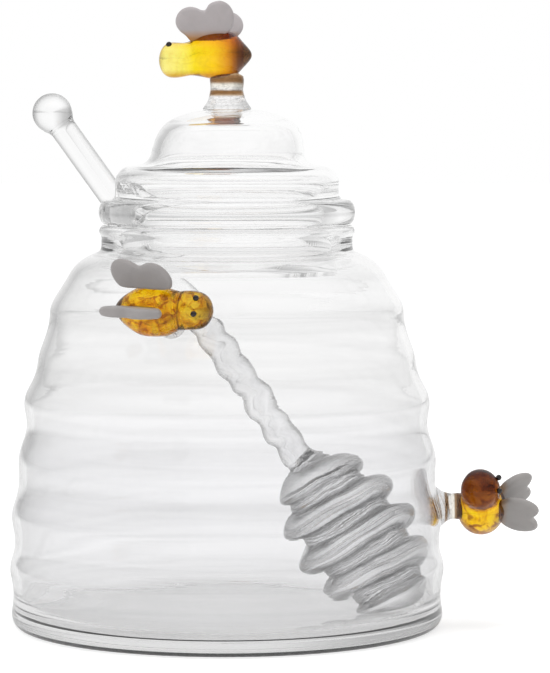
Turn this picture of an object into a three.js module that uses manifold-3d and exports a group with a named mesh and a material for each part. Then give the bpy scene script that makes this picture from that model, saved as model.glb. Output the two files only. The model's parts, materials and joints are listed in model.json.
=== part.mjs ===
// Glass honey pot: a ribbed beehive jar, a stepped lid, a glass dipper and three glass bees.
// Millimetres, +Z up. The origin is the centre of the jar's flat underside and -Y is the front.
// The jar, the lid and the dipper are three loose bodies. Each bee is fused to what carries it.

import * as THREE from 'three';
import { mergeVertices } from 'three/addons/utils/BufferGeometryUtils.js';
import Module from 'manifold-3d';

const wasm = await Module();
wasm.setup();

// Space left between two solids that touch on the real object
const CLEARANCE = 0.3;
// How far a cutting solid runs past what it cuts
const OVERRUN = 4;

// Jar
const BODY_RADIUS = 53.4;
const BODY_HEIGHT = 92;
const JAR_WALL = 1.8;
const FLOOR_THICKNESS = 3;
const BASE_ROUNDING = 2.6;
const FLOOR_ROUNDING = 5;
const NECK_RADIUS = 30.7;
const NECK_HEIGHT = 6;
const RIM_BEAD = 0.5;
const RIM_BEAD_HEIGHT = 3.1;

// Lid
const FLANGE_OVERHANG = 0.6;
const FLANGE_HEIGHT = 5.8;
const FLANGE_NOSE = 1.9;
const TIER_RADIUS = 27.3;
const TIER_HEIGHT = 8.3;
const TIER_ROUNDING = 4.2;
// Degrees that the tier's rounding turns through, from its side up to the roof
const TIER_ARC = 75;
const ROOF_RISE = 2.5;
const DOME_RADIUS = 18.8;
const DOME_HEIGHT = 11.4;
const LID_WALL = 2;
const SKIRT_DEPTH = 12.2;
const SKIRT_CLEARANCE = 1.7;
const SKIRT_BEAD = 1.3;
const SKIRT_BEAD_HEIGHT = 4.9;
const NOTCH_CLEARANCE = 0.5;

// Dipper, measured along its own axis from the middle of the knob
const KNOB_RADIUS = 4.9;
const ROD_RADIUS = 3.2;
const ROD_LENGTH = 62;
const TWIST_RADIUS = 4.2;
const TWIST_GROOVE = 0.9;
const TWIST_PITCH = 6.85;
const TWIST_LENGTH = 43.9;
const HEAD_RADIUS = 15.6;
const HEAD_LENGTH = 45;
const HEAD_PITCH = 9;
// Power of the rounded oblong that the head's crests touch, where 2 is an ellipse
const HEAD_ROUNDNESS = 2;
const RIM_REST = 0.45;
const LEAN_AZIMUTH = THREE.MathUtils.degToRad(-15);

// Bees
const BEE_RADIUS = 6;
const BEE_BODY_LENGTH = 11;
const BEE_HEAD_RADIUS = 4.6;
const BEE_HEAD_LENGTH = 7.4;
const BEE_TAIL_LENGTH = 3.6;
const EYE_RADIUS = 0.7;
const WING_HEIGHT = 7.6;
const FRONT_WING_HEIGHT = 6.4;
const SIDE_WING_HEIGHT = 8;
const WING_LOBE_RADIUS = 3.9;
const WING_LOBE_SPREAD = 3.2;
const WING_ROOT_WIDTH = 8.6;
const WING_THICKNESS = 1.8;
const LID_POST_LENGTH = 6.9;
const LID_POST_RADIUS = 4;
const LID_POST_FOOT_RADIUS = 5.9;
const WALL_POST_LENGTH = 3.9;
const WALL_POST_RADIUS = 3.1;
const WALL_POST_FOOT_RADIUS = 5;
const FRONT_BEE_HEIGHT = 76.7;
const SIDE_BEE_HEIGHT = 28.9;

// Outlines as shares of the sizes above
// Beehive rings, from the base to the neck: [share of the body's height, share of its radius]
const hiveShares = [
  [0.0345, 0.991], [0.0875, 0.982], [0.130, 0.991], [0.151, 1], [0.172, 0.996], [0.1935, 0.982],
  [0.2306, 0.973], [0.278, 0.987], [0.2996, 0.991], [0.3208, 0.982], [0.363, 0.959],
  [0.403, 0.9546], [0.448, 0.959], [0.480, 0.9455], [0.522, 0.920], [0.5435, 0.918],
  [0.5965, 0.932], [0.6177, 0.925], [0.660, 0.884], [0.6813, 0.8724], [0.724, 0.861],
  [0.766, 0.8335], [0.8087, 0.813], [0.851, 0.8085], [0.872, 0.790], [0.9146, 0.742],
  [0.957, 0.699], [0.978, 0.6535], [0.989, 0.616],
];
// The dome from its top to its foot: [share of its radius, share of its height]
const domeShares = [
  [0, 1], [0.31, 0.975], [0.45, 0.944], [0.6, 0.88], [0.71, 0.81], [0.8, 0.73], [0.868, 0.626],
  [0.915, 0.513], [0.952, 0.383], [0.973, 0.243], [0.989, 0.113], [1, 0],
];
// The roof from the dome to the tier's rounding: [share of the way out, share of the way down]
const roofShares = [[0.12, 0.45], [0.35, 0.75], [0.65, 0.92]];
// [share of the length, share of the radius], from the neck backwards
const beeBodyShares = [[0, 0.74], [0.1, 0.84], [0.3, 0.96], [0.55, 1], [0.8, 0.97], [1, 0.84]];
// From the tip of the tail forwards
const beeTailShares = [[0, 0], [0.15, 0.2], [0.5, 0.48], [1, 0.78]];
// From the neck forwards
const beeHeadShares = [
  [0, 0.82], [0.12, 0.95], [0.35, 1], [0.6, 0.97], [0.8, 0.8], [0.93, 0.5], [1, 0],
];
// [share of the post's length, share of the way from its waist radius to its foot radius]
const postShares = [[0, 1], [0.12, 0.72], [0.3, 0.32], [0.55, 0.06], [0.7, 0], [1, 0.08]];
// How far up the round of the belly a post reaches
const postEmbraceShare = 0.15;
const eyeAlongHeadShare = 0.46;
const headGrooveShare = 0.27;
const headCrestShare = 0.07;
// How far a bee's middle lies ahead of its post, and its wings ahead of its middle
const lidLeadShare = 0.3;
const lidWingShares = { left: 0.18, right: -0.02 };
const frontWingShares = { left: -0.2, right: -0.28 };

// Steps round each kind of turned piece
const JAR_SIDES = 32;
const BEE_SIDES = 16;
const ROD_SIDES = 16;
const TWIST_SIDES = 10;
const HEAD_SIDES = 18;
const BEAD_SIDES = 8;
const CUTTER_SIDES = 24;
const HEAD_ROWS = 38;
const TWIST_ROWS = 26;
const ARC_STEPS = 4;
// Rounds of working out the dipper's lean
const LEAN_ROUNDS = 24;

const glass = new THREE.MeshStandardMaterial({ color: 0xdfe6e8, roughness: 0.04, metalness: 0 });
const amber = new THREE.MeshStandardMaterial({ color: 0xe9a81c, roughness: 0.06, metalness: 0 });
const lemon = new THREE.MeshStandardMaterial({ color: 0xf0cf45, roughness: 0.06, metalness: 0 });
const brown = new THREE.MeshStandardMaterial({ color: 0x4c1d0a, roughness: 0.08, metalness: 0 });
const milky = new THREE.MeshStandardMaterial({ color: 0xb4afb4, roughness: 0.15, metalness: 0 });
const black = new THREE.MeshStandardMaterial({ color: 0x120c08, roughness: 0.1, metalness: 0 });

// Closed geometry with shared corners, no empty triangles and its faces pointing out
function cleaned(geometry) {
  const bare = geometry.clone();
  bare.deleteAttribute('normal');
  bare.deleteAttribute('uv');
  const merged = mergeVertices(bare);
  const position = merged.attributes.position;
  const triangles = [];
  const corner = [new THREE.Vector3(), new THREE.Vector3(), new THREE.Vector3()];
  let volume = 0;
  for (let i = 0; i < merged.index.count; i += 3) {
    const ids = [0, 1, 2].map((k) => merged.index.getX(i + k));
    if (ids[0] === ids[1] || ids[1] === ids[2] || ids[2] === ids[0]) continue;
    ids.forEach((id, k) => corner[k].fromBufferAttribute(position, id));
    volume += corner[0].dot(corner[1].clone().cross(corner[2]));
    triangles.push(ids);
  }
  if (volume < 0) triangles.forEach((ids) => ids.reverse());
  const closed = new THREE.BufferGeometry();
  closed.setAttribute('position', position);
  closed.setIndex(triangles.flat());
  return closed;
}

// Solid of a geometry, its corners shared before it is moved
function solidOf(geometry, matrix = new THREE.Matrix4()) {
  const closed = cleaned(geometry);
  const mesh = new wasm.Mesh({
    numProp: 3,
    vertProperties: new Float32Array(closed.attributes.position.array),
    triVerts: new Uint32Array(closed.index.array),
  });
  return new wasm.Manifold(mesh).transform(matrix.elements);
}

function geometryOf(solid) {
  const mesh = solid.getMesh();
  const geometry = new THREE.BufferGeometry();
  const corners = new Float32Array(mesh.vertProperties);
  geometry.setAttribute('position', new THREE.BufferAttribute(corners, mesh.numProp));
  geometry.setIndex(Array.from(mesh.triVerts));
  return geometry;
}

function named(name, geometry, material) {
  const mesh = new THREE.Mesh(geometry, material);
  mesh.name = name;
  return mesh;
}

function arc(centreR, centreZ, radiusR, radiusZ, from, to, steps = ARC_STEPS) {
  const curve = new THREE.EllipseCurve(
    centreR, centreZ, radiusR, radiusZ,
    THREE.MathUtils.degToRad(from), THREE.MathUtils.degToRad(to), to < from);
  return curve.getPoints(steps);
}

const at = (r, z) => new THREE.Vector2(r, z);

// Solid turned about Z from an outline that starts and ends on the axis
function turned(outline, sides) {
  return new THREE.LatheGeometry(outline, sides).rotateX(Math.PI / 2);
}

// Solid turned about X from shares of a length and a radius
function turnedAlongX(shares, length, radius, sides) {
  const outline = shares.map(([along, out]) => at(out * radius, along * length));
  return new THREE.LatheGeometry([at(0, 0), ...outline, at(0, length)], sides).rotateZ(-Math.PI / 2);
}

// Each point of an outline moved square to its run, to the outside where the distance is positive
function shifted(outline, distance) {
  return outline.map((point, i) => {
    const before = outline[Math.max(i - 1, 0)];
    const after = outline[Math.min(i + 1, outline.length - 1)];
    const run = after.clone().sub(before).normalize();
    return at(point.x + run.y * distance, point.y - run.x * distance);
  });
}

// Radius of an upward outline at a height
function radiusAt(outline, height) {
  const above = outline.findIndex((point) => point.y >= height);
  if (above <= 0) return outline[above < 0 ? outline.length - 1 : 0].x;
  const low = outline[above - 1];
  const high = outline[above];
  return THREE.MathUtils.mapLinear(height, low.y, high.y, low.x, high.x);
}

// Closed solid from rows of points round Z, with a fan on each end
function stacked(rows, sides, radius) {
  const positions = [];
  const index = [];
  rows.forEach((along) => {
    for (let side = 0; side < sides; side += 1) {
      const angle = (2 * Math.PI * side) / sides;
      const r = radius(along, angle);
      positions.push(r * Math.cos(angle), r * Math.sin(angle), -along);
    }
  });
  const first = rows.length * sides;
  positions.push(0, 0, -rows[0], 0, 0, -rows[rows.length - 1]);
  for (let row = 0; row < rows.length - 1; row += 1) {
    for (let side = 0; side < sides; side += 1) {
      const next = (side + 1) % sides;
      const a = row * sides + side;
      const b = row * sides + next;
      index.push(a, a + sides, b, b, a + sides, b + sides);
    }
  }
  const last = (rows.length - 1) * sides;
  for (let side = 0; side < sides; side += 1) {
    const next = (side + 1) % sides;
    index.push(first, side, next, first + 1, last + next, last + side);
  }
  const geometry = new THREE.BufferGeometry();
  geometry.setAttribute('position', new THREE.Float32BufferAttribute(positions, 3));
  geometry.setIndex(index);
  return geometry;
}

function evenRows(start, end, steps) {
  return Array.from({ length: steps + 1 }, (_, i) => THREE.MathUtils.lerp(start, end, i / steps));
}

// How deep a one-start left-hand groove is, from 0 on its crest to 1 in its bottom
function grooveAt(along, angle, pitch, crest) {
  const turn = (2 * Math.PI * (along - crest)) / pitch - (angle - Math.PI);
  return (1 - Math.cos(turn)) / 2;
}

// Jar
const rimTop = BODY_HEIGHT + NECK_HEIGHT;
const neckBore = NECK_RADIUS - JAR_WALL;
const rimRounding = RIM_BEAD_HEIGHT / 2;
const rimMiddle = (NECK_RADIUS + RIM_BEAD + neckBore) / 2;
const hive = hiveShares.map(([up, out]) => at(out * BODY_RADIUS, up * BODY_HEIGHT));
const wallOutline = [
  ...hive,
  at(NECK_RADIUS, BODY_HEIGHT),
  at(NECK_RADIUS, rimTop - RIM_BEAD_HEIGHT),
];
const boreOutline = [
  ...shifted(hive, -JAR_WALL).filter((point) => point.y > FLOOR_THICKNESS + FLOOR_ROUNDING),
  at(neckBore, BODY_HEIGHT - JAR_WALL),
  at(neckBore, rimTop - rimRounding),
];

function jarBody() {
  const foot = hive[0];
  const rimHalf = (NECK_RADIUS + RIM_BEAD - neckBore) / 2;
  const inner = boreOutline[0];
  const outline = [
    at(0, 0),
    ...arc(foot.x - BASE_ROUNDING, foot.y, BASE_ROUNDING, foot.y, -90, 0),
    ...wallOutline.slice(1),
    ...arc(rimMiddle, rimTop - rimRounding, rimHalf, rimRounding, 0, 180, 2 * ARC_STEPS),
    ...boreOutline.slice(0, -1).reverse(),
    ...arc(inner.x - FLOOR_ROUNDING, inner.y, FLOOR_ROUNDING, inner.y - FLOOR_THICKNESS, 0, -90).slice(1),
    at(0, FLOOR_THICKNESS),
  ];
  return named('jar_body', cleaned(turned(outline, JAR_SIDES)), glass);
}

// Lid
const flangeBottom = rimTop + CLEARANCE;
const flangeTop = flangeBottom + FLANGE_HEIGHT;
const flangeRadius = NECK_RADIUS + FLANGE_OVERHANG;
const tierTop = flangeTop + TIER_HEIGHT;
const domeFoot = tierTop + ROOF_RISE;
const domeTop = domeFoot + DOME_HEIGHT;
const skirtRadius = neckBore - SKIRT_CLEARANCE - SKIRT_BEAD;
const skirtBottom = flangeBottom - SKIRT_DEPTH;
const dome = domeShares.map(([out, up]) => at(out * DOME_RADIUS, domeFoot + up * DOME_HEIGHT));
const tierTurn = TIER_RADIUS - TIER_ROUNDING;
const shoulder = arc(tierTurn, tierTop - TIER_ROUNDING, TIER_ROUNDING, TIER_ROUNDING, TIER_ARC, 0);
const roof = roofShares.map(([out, down]) => at(
  THREE.MathUtils.lerp(DOME_RADIUS, shoulder[0].x, out),
  THREE.MathUtils.lerp(domeFoot, shoulder[0].y, down)));
const lidOutline = [...dome, ...roof, ...shoulder, at(TIER_RADIUS, flangeTop)];

function lidShell(rodAxis) {
  const flangeHalf = FLANGE_HEIGHT / 2;
  const flangeMiddle = flangeBottom + flangeHalf;
  const flangeSeat = flangeRadius - rimMiddle;
  const beadHalf = SKIRT_BEAD_HEIGHT / 2;
  const skirtBore = skirtRadius - LID_WALL;
  const crown = shifted([...dome, ...roof, shoulder[0]], LID_WALL).slice(1, -1);
  const crownBore = crown.filter((point) => point.x > LID_WALL);
  const tierBend = TIER_ROUNDING - LID_WALL;
  const outline = [
    ...lidOutline,
    ...arc(flangeRadius - FLANGE_NOSE, flangeMiddle, FLANGE_NOSE, flangeHalf, 90, 0),
    ...arc(rimMiddle, flangeMiddle, flangeSeat, flangeHalf, 0, -90).slice(1),
    at(skirtRadius, flangeBottom),
    ...arc(skirtRadius, skirtBottom + beadHalf, SKIRT_BEAD, beadHalf, 90, -90, 2 * ARC_STEPS),
    at(skirtBore, skirtBottom),
    at(skirtBore, flangeTop),
    ...arc(tierTurn, tierTop - TIER_ROUNDING, tierBend, tierBend, 0, TIER_ARC),
    ...crownBore.reverse(),
    at(0, domeTop - LID_WALL),
  ];
  const shell = solidOf(turned(outline, JAR_SIDES)).subtract(notchCutter(rodAxis));
  return named('lid_shell', geometryOf(shell), glass);
}

// The notch is open outwards and downwards, so that the lid lifts off over the leaning dipper
function notchCutter(rodAxis) {
  const half = TWIST_RADIUS + NOTCH_CLEARANCE;
  const low = skirtBottom - OVERRUN;
  const out = -(flangeRadius + OVERRUN);
  const side = new THREE.Shape([
    at(rodAxis.outAt(low), low),
    at(rodAxis.outAt(low), low - OVERRUN),
    at(out, low - OVERRUN),
    at(out, rodAxis.heightAt(out)),
  ]);
  const slab = new THREE.ExtrudeGeometry(side, { depth: 2 * half, bevelEnabled: false });
  slab.rotateX(Math.PI / 2).translate(0, half, 0);
  const reach = (rodAxis.heightAt(out) - low) / Math.cos(rodAxis.tilt);
  const bore = new THREE.CylinderGeometry(half, half, reach, CUTTER_SIDES).rotateX(Math.PI / 2);
  const middle = at((rodAxis.outAt(low) + out) / 2, (low + rodAxis.heightAt(out)) / 2);
  const lean = new THREE.Matrix4().makeRotationY(-rodAxis.tilt).setPosition(middle.x, 0, middle.y);
  const swing = new THREE.Matrix4().makeRotationZ(LEAN_AZIMUTH);
  return solidOf(slab, swing).add(solidOf(bore, lean.premultiply(swing)));
}

// Dipper
const headCap = 1 - (1 - (TWIST_RADIUS / HEAD_RADIUS) ** HEAD_ROUNDNESS) ** (1 / HEAD_ROUNDNESS);
const headMiddle = ROD_LENGTH + TWIST_LENGTH + (1 - headCap) * HEAD_LENGTH / 2;
const headCrest = headMiddle - HEAD_LENGTH / 2 + HEAD_LENGTH * headCrestShare;

function headEnvelope(along) {
  const share = Math.min(Math.abs(along - headMiddle) / (HEAD_LENGTH / 2), 1);
  return HEAD_RADIUS * (1 - share ** HEAD_ROUNDNESS) ** (1 / HEAD_ROUNDNESS);
}

function dipperHead() {
  const start = ROD_LENGTH + TWIST_LENGTH + CLEARANCE;
  const end = headMiddle + HEAD_LENGTH / 2;
  const rows = evenRows(start, end, HEAD_ROWS);
  rows[HEAD_ROWS] -= CLEARANCE / 2;
  const radius = (along, angle) => {
    const groove = headGrooveShare * grooveAt(along, angle, HEAD_PITCH, headCrest);
    return headEnvelope(along) * (1 - groove);
  };
  return stacked(rows, HEAD_SIDES, radius);
}

function dipperTwist() {
  const start = ROD_LENGTH + CLEARANCE;
  const end = ROD_LENGTH + TWIST_LENGTH;
  const radius = (along, angle) => (
    TWIST_RADIUS - TWIST_GROOVE * grooveAt(along, angle, TWIST_PITCH, ROD_LENGTH));
  return stacked(evenRows(start, end, TWIST_ROWS), TWIST_SIDES, radius);
}

// The dipper's head stands in the corner of floor and wall, and its rod leans on the rim's bore
function leaningAxis(headGeometry) {
  const position = headGeometry.attributes.position;
  const rimHeight = rimTop - rimRounding;
  const point = new THREE.Vector3();
  const flatShare = Math.cos(Math.PI / JAR_SIDES);
  let tilt = Math.atan2(BODY_RADIUS, BODY_HEIGHT);
  let head = at(0, 0);
  for (let round = 0; round < LEAN_ROUNDS; round += 1) {
    const lean = new THREE.Matrix4().makeRotationY(-tilt);
    lean.setPosition(new THREE.Vector3(0, 0, headMiddle).applyMatrix4(lean));
    let lowest = 0;
    for (let i = 0; i < position.count; i += 1) {
      point.fromBufferAttribute(position, i).applyMatrix4(lean);
      lowest = Math.min(lowest, point.z);
    }
    const height = FLOOR_THICKNESS + CLEARANCE - lowest;
    let out = BODY_RADIUS;
    for (let i = 0; i < position.count; i += 1) {
      point.fromBufferAttribute(position, i).applyMatrix4(lean);
      const room = radiusAt(boreOutline, point.z + height) * flatShare - CLEARANCE;
      out = Math.min(out, Math.sqrt(room ** 2 - point.y ** 2) - point.x);
    }
    head = at(out, height);
    const rimOut = neckBore - (TWIST_RADIUS + RIM_REST) / Math.cos(tilt);
    tilt = Math.atan2(head.x + rimOut, rimHeight - head.y);
  }
  return {
    tilt,
    head,
    outAt: (height) => head.x - (height - head.y) * Math.tan(tilt),
    heightAt: (out) => head.y + (head.x - out) / Math.tan(tilt),
  };
}

function dipper(axis, headGeometry) {
  const leaning = new THREE.Group();
  const knob = new THREE.SphereGeometry(KNOB_RADIUS, ROD_SIDES, BEAD_SIDES + 2);
  const knobReach = Math.sqrt(KNOB_RADIUS ** 2 - ROD_RADIUS ** 2) + CLEARANCE;
  const rodLength = ROD_LENGTH - knobReach;
  const rod = new THREE.CylinderGeometry(ROD_RADIUS, ROD_RADIUS, rodLength, ROD_SIDES);
  rod.rotateX(Math.PI / 2).translate(0, 0, -(knobReach + rodLength / 2));
  const flat = new THREE.CylinderGeometry(KNOB_RADIUS, KNOB_RADIUS, KNOB_RADIUS, ROD_SIDES);
  flat.rotateX(Math.PI / 2).translate(0, 0, -(knobReach - CLEARANCE + KNOB_RADIUS / 2));
  leaning.add(named('dipper_knob', geometryOf(solidOf(knob).subtract(solidOf(flat))), glass));
  leaning.add(named('dipper_rod', cleaned(rod), glass));
  leaning.add(named('dipper_twist', dipperTwist(), glass));
  leaning.add(named('dipper_head', headGeometry, glass));
  const knobAt = at(-Math.sin(axis.tilt), Math.cos(axis.tilt)).multiplyScalar(headMiddle).add(axis.head);
  leaning.position.set(knobAt.x, 0, knobAt.y);
  leaning.rotation.y = -axis.tilt;
  const turnedDipper = new THREE.Group();
  turnedDipper.rotation.z = LEAN_AZIMUTH;
  turnedDipper.add(leaning);
  return turnedDipper;
}

// Bees, each in its own frame: +X to the head, +Y to its left, +Z out of its back
function wing(angle, shift, height) {
  const lobeHeight = height - WING_LOBE_RADIUS;
  const notch = Math.acos(WING_LOBE_SPREAD / WING_LOBE_RADIUS);
  const low = Math.PI / 6;
  const petal = new THREE.Shape();
  petal.moveTo(WING_ROOT_WIDTH / 2, 0);
  petal.lineTo(-WING_ROOT_WIDTH / 2, 0);
  petal.absarc(-WING_LOBE_SPREAD, lobeHeight, WING_LOBE_RADIUS, Math.PI + low, notch, true);
  petal.absarc(WING_LOBE_SPREAD, lobeHeight, WING_LOBE_RADIUS, Math.PI - notch, -low, true);
  petal.closePath();
  const sheet = new THREE.ExtrudeGeometry(petal, {
    depth: WING_THICKNESS, bevelEnabled: false, curveSegments: ARC_STEPS,
  });
  sheet.translate(shift, BEE_RADIUS + CLEARANCE, -WING_THICKNESS / 2);
  return cleaned(sheet.rotateX(Math.PI / 2 - angle));
}

// Post from below the carrier's skin up into the belly, before both are cut away
function postGeometry(pose, sink) {
  const { length, radius, foot } = pose.post;
  const outline = postShares.map(([up, out]) => at(radius + out * (foot - radius), up * length));
  const top = length + postEmbraceShare * BEE_RADIUS;
  const points = [at(0, -sink), at(foot, -sink), ...outline, at(outline.at(-1).x, top), at(0, top)];
  return turned(points, BEE_SIDES).translate(-pose.lead, 0, -(length + BEE_RADIUS));
}

function bee(name, pose, carrier) {
  const frame = new THREE.Group();
  const left = pose.back.clone().cross(pose.ahead);
  frame.quaternion.setFromRotationMatrix(new THREE.Matrix4().makeBasis(pose.ahead, left, pose.back));
  frame.position.copy(pose.seat).addScaledVector(pose.back, pose.post.length + BEE_RADIUS);
  frame.position.addScaledVector(pose.ahead, pose.lead);
  frame.updateMatrixWorld(true);

  const front = BEE_BODY_LENGTH / 2;
  const body = turnedAlongX(beeBodyShares, -BEE_BODY_LENGTH, BEE_RADIUS, BEE_SIDES).translate(front, 0, 0);
  frame.add(named(`${name}_body`, cleaned(body), amber));

  const tail = turnedAlongX(beeTailShares, BEE_TAIL_LENGTH, BEE_RADIUS, BEE_SIDES);
  tail.translate(-front - CLEARANCE - BEE_TAIL_LENGTH, 0, 0);
  frame.add(named(`${name}_tail_tip`, cleaned(tail), brown));

  const head = turnedAlongX(beeHeadShares, BEE_HEAD_LENGTH, BEE_HEAD_RADIUS, BEE_SIDES);
  let headSolid = solidOf(head.translate(front + CLEARANCE, 0, 0));
  const eyeAlong = front + CLEARANCE + eyeAlongHeadShare * BEE_HEAD_LENGTH;
  const eyes = { left: -pose.eyeAngle, right: pose.eyeAngle };
  for (const [side, angle] of Object.entries(eyes)) {
    const place = new THREE.Vector3(eyeAlong, 0, BEE_HEAD_RADIUS);
    place.applyAxisAngle(new THREE.Vector3(1, 0, 0), angle);
    const bead = (radius) => (
      new THREE.SphereGeometry(radius, BEAD_SIDES, BEAD_SIDES - 2).translate(...place));
    headSolid = headSolid.subtract(solidOf(bead(EYE_RADIUS + CLEARANCE)));
    frame.add(named(`${name}_eye_${side}`, cleaned(bead(EYE_RADIUS)), black));
  }
  frame.add(named(`${name}_head`, geometryOf(headSolid), pose.headGlass));

  const { left: leftWing, right: rightWing } = pose.wings;
  frame.add(named(`${name}_wing_left`, wing(leftWing.angle, leftWing.shift, pose.wingHeight), milky));
  frame.add(named(`${name}_wing_right`, wing(-rightWing.angle, rightWing.shift, pose.wingHeight), milky));

  const roomLength = BEE_BODY_LENGTH + 2 * CLEARANCE;
  const room = turnedAlongX(beeBodyShares, -roomLength, BEE_RADIUS + CLEARANCE, BEE_SIDES);
  const bodyRoom = solidOf(room.translate(front + CLEARANCE, 0, 0));
  const wallRoom = solidOf(carrier.skin, frame.matrixWorld.clone().invert());
  const post = solidOf(postGeometry(pose, carrier.sink)).subtract(bodyRoom).subtract(wallRoom);
  frame.add(named(`${name}_post`, geometryOf(post), glass));
  return frame;
}

const degrees = THREE.MathUtils.degToRad;
const around = (azimuth, rise) => new THREE.Vector3(
  Math.cos(azimuth) * Math.cos(rise), Math.sin(azimuth) * Math.cos(rise), Math.sin(rise));

// Outer skin of a carrier, one clearance proud, as a closed solid to cut the posts with
const rimSkinRadius = NECK_RADIUS + RIM_BEAD + CLEARANCE;
const jarSkin = turned([
  at(0, 0),
  ...shifted(wallOutline, CLEARANCE),
  at(rimSkinRadius, rimTop - RIM_BEAD_HEIGHT),
  at(rimSkinRadius, rimTop + CLEARANCE),
  at(0, rimTop + CLEARANCE),
], JAR_SIDES);
const lidCrown = at(0, lidOutline[0].y + CLEARANCE);
const lidSkin = turned([lidCrown, ...shifted(lidOutline, -CLEARANCE).slice(1), at(0, flangeTop)], JAR_SIDES);

const lidPost = { length: LID_POST_LENGTH, radius: LID_POST_RADIUS, foot: LID_POST_FOOT_RADIUS };
const wallPost = { length: WALL_POST_LENGTH, radius: WALL_POST_RADIUS, foot: WALL_POST_FOOT_RADIUS };
const frontAzimuth = degrees(-107.5);
const frontRadius = radiusAt(wallOutline, FRONT_BEE_HEIGHT);
const frontBack = around(frontAzimuth, degrees(18));
const frontAhead = around(frontAzimuth + Math.PI / 2, degrees(-3));
frontAhead.addScaledVector(frontBack, -frontAhead.dot(frontBack)).normalize();

const poses = {
  lid_bee: {
    seat: new THREE.Vector3(0, 0, domeTop),
    back: new THREE.Vector3(0, 0, 1),
    ahead: new THREE.Vector3(-1, 0, 0),
    lead: lidLeadShare * BEE_BODY_LENGTH,
    eyeAngle: degrees(24),
    headGlass: lemon,
    wingHeight: WING_HEIGHT,
    post: lidPost,
    wings: {
      left: { angle: degrees(20), shift: lidWingShares.left * BEE_BODY_LENGTH },
      right: { angle: degrees(35), shift: lidWingShares.right * BEE_BODY_LENGTH },
    },
  },
  front_bee: {
    seat: around(frontAzimuth, 0).multiplyScalar(frontRadius).setZ(FRONT_BEE_HEIGHT),
    back: frontBack,
    ahead: frontAhead,
    lead: 0,
    eyeAngle: degrees(24),
    headGlass: lemon,
    wingHeight: FRONT_WING_HEIGHT,
    post: wallPost,
    wings: {
      left: { angle: degrees(46), shift: frontWingShares.left * BEE_BODY_LENGTH },
      right: { angle: degrees(18), shift: frontWingShares.right * BEE_BODY_LENGTH },
    },
  },
  side_bee: {
    seat: new THREE.Vector3(radiusAt(wallOutline, SIDE_BEE_HEIGHT), 0, SIDE_BEE_HEIGHT),
    back: new THREE.Vector3(1, 0, 0),
    ahead: around(-Math.PI / 2, degrees(37)),
    lead: 0,
    eyeAngle: degrees(24),
    headGlass: brown,
    wingHeight: SIDE_WING_HEIGHT,
    post: wallPost,
    wings: {
      left: { angle: degrees(15), shift: 0 },
      right: { angle: degrees(27), shift: 0 },
    },
  },
};

const headGeometry = dipperHead();
const axis = leaningAxis(headGeometry);
const jarCarrier = { skin: jarSkin, sink: WALL_POST_FOOT_RADIUS / 2 };
const lidCarrier = { skin: lidSkin, sink: LID_WALL / 2 };

const group = new THREE.Group();
group.add(jarBody());
group.add(lidShell(axis));
group.add(dipper(axis, headGeometry));
group.add(bee('lid_bee', poses.lid_bee, lidCarrier));
group.add(bee('front_bee', poses.front_bee, jarCarrier));
group.add(bee('side_bee', poses.side_bee, jarCarrier));

export default group;
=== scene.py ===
import json
import math

import bmesh
import bpy
from mathutils import Matrix, Vector, noise


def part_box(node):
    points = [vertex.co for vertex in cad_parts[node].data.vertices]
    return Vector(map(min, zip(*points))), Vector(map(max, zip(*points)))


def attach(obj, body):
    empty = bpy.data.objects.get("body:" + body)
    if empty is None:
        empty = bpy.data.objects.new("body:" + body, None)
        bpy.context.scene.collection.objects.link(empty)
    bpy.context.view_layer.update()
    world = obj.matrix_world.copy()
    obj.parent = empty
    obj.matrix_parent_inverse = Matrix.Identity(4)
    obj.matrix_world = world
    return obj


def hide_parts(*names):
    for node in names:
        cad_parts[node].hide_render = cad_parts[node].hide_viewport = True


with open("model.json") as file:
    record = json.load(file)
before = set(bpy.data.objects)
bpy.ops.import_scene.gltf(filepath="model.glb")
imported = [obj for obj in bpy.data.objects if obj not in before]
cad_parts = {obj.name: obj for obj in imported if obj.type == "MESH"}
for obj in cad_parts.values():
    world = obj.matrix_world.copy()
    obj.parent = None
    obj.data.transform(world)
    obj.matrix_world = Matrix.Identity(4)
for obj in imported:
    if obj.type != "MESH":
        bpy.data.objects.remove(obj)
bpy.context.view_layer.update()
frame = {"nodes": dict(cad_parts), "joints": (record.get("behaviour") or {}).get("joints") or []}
scene = bpy.context.scene
UP = Vector((0, 0, 1))
MM = 0.001
TINY = 1e-9

# Camera: the photograph's frame in pixels, and where the pot's axis stands in it
PHOTO_WIDTH = 550
PHOTO_HEIGHT = 673
AXIS_COLUMN = 227
HORIZON_ROW = 126
FOCAL_PIXELS = 3198
EYE_DISTANCE = 0.78
EYE_HEIGHT = 0.122
SENSOR_MM = 36
CLIP_NEAR = 0.01
CLIP_FAR = 50

# Jar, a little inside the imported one, so that its uneven wall stays in the box
JAR_FIT_SHARE = 0.9995
jar_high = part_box("jar_body")[1]
BODY_RADIUS = jar_high.x * JAR_FIT_SHARE
RIM_TOP = jar_high.z
NECK_HEIGHT = 0.006
BODY_HEIGHT = RIM_TOP - NECK_HEIGHT
JAR_WALL = 0.0018
FLOOR_THICKNESS = 0.003
BASE_ROUNDING = 0.0026
FLOOR_ROUNDING = 0.005
NECK_RADIUS = 0.0307
NECK_FLARE = 0.0004
NECK_FLARE_DROP = 0.0002
NECK_BEND = 0.0008
RIM_BEAD = 0.0005
RIM_BEAD_HEIGHT = 0.0031
RIM_START_ANGLE = -35

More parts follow.
